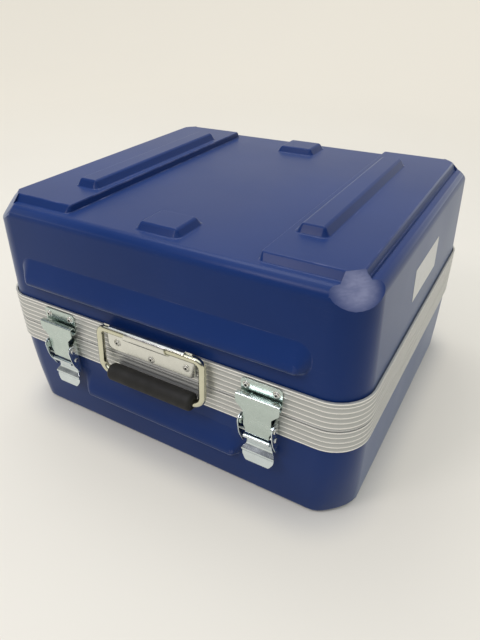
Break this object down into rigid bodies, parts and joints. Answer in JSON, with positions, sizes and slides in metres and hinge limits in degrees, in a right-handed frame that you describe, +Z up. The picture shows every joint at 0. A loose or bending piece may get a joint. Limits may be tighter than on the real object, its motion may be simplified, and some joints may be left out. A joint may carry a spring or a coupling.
{
  "type": "hard carry case",
  "caption": "Hard plastic carry case with a deep hinged lid, ribbed metal edge bands, lever latches and a folding bail handle.",
  "frame": {"origin": "centre of the underside, on the surface that it stands on", "axes": "+Z up, -Y the front with the handle and latches, +X the viewer's right when facing the front"},
  "size_m": [0.45, 0.4315, 0.279],
  "materials": {
    "shell_plastic": "satin, fine grain",
    "band_metal": "satin extrusion, ribbed",
    "seal_rubber": "matt",
    "foam": "open-cell foam, matt",
    "handle_steel": "satin zinc plate",
    "bail_steel": "bright zinc plate, slightly yellow",
    "grip_plastic": "matt",
    "latch_steel": "satin zinc plate",
    "lever_steel": "satin zinc plate",
    "pin_steel": "satin",
    "rivet_metal": "satin",
    "hinge_steel": "satin zinc plate",
    "label": "satin, blank"
  },
  "bodies": {
    "base": {"base_shell": "shell_plastic", "base_frame": "band_metal", "frame_seal": "seal_rubber", "base_foam_pad": "foam", "base_foam_strips": "foam", "latch_base_left": "latch_steel", "latch_base_right": "latch_steel", "latch_base_rivets": "rivet_metal", "lever_pivots_left": "pin_steel", "lever_pivots_right": "pin_steel", "hinge_base_leaf_left": "hinge_steel", "hinge_base_leaf_right": "hinge_steel", "hinge_pins": "pin_steel", "hinge_base_rivets": "rivet_metal"},
    "lid": {"lid_shell": "shell_plastic", "lid_frame": "band_metal", "lid_foam": "foam", "label_blank": "label", "handle_plate": "handle_steel", "handle_rivets": "rivet_metal", "keeper_left": "latch_steel", "keeper_right": "latch_steel", "keeper_rivets": "rivet_metal", "hinge_lid_leaf_left": "hinge_steel", "hinge_lid_leaf_right": "hinge_steel", "hinge_lid_rivets": "rivet_metal"},
    "handle": {"handle_bail": "bail_steel", "handle_grip": "grip_plastic"},
    "lever_left": {"latch_lever_left": "lever_steel", "link_pin_left": "pin_steel"},
    "link_left": {"latch_link_left": "latch_steel"},
    "lever_right": {"latch_lever_right": "lever_steel", "link_pin_right": "pin_steel"},
    "link_right": {"latch_link_right": "latch_steel"}
  },
  "joints": [
    {"name": "lid_hinge", "type": "hinge", "parent": "base", "child": "lid", "pos_m": [0, 0.2038, 0.122], "axis": [-1, 0, 0], "range_deg": [0, 95]},
    {"name": "handle_swing", "type": "hinge", "parent": "lid", "child": "handle", "pos_m": [0, -0.2059, 0.157], "axis": [-1, 0, 0], "range_deg": [0, 165]},
    {"name": "lever_swing_left", "type": "hinge", "parent": "base", "child": "lever_left", "pos_m": [-0.1293, -0.2088, 0.109], "axis": [-1, 0, 0], "range_deg": [0, 90]},
    {"name": "link_swing_left", "type": "hinge", "parent": "lever_left", "child": "link_left", "pos_m": [-0.1293, -0.2072, 0.095], "axis": [-1, 0, 0], "range_deg": [-70, 0]},
    {"name": "lever_swing_right", "type": "hinge", "parent": "base", "child": "lever_right", "pos_m": [0.1293, -0.2088, 0.109], "axis": [-1, 0, 0], "range_deg": [0, 90]},
    {"name": "link_swing_right", "type": "hinge", "parent": "lever_right", "child": "link_right", "pos_m": [0.1293, -0.2072, 0.095], "axis": [-1, 0, 0], "range_deg": [-70, 0]}
  ],
  "couplings": [
    {"joint": "link_swing_left", "follows": "lever_swing_left", "ratio": -0.77},
    {"joint": "link_swing_right", "follows": "lever_swing_right", "ratio": -0.77}
  ]
}
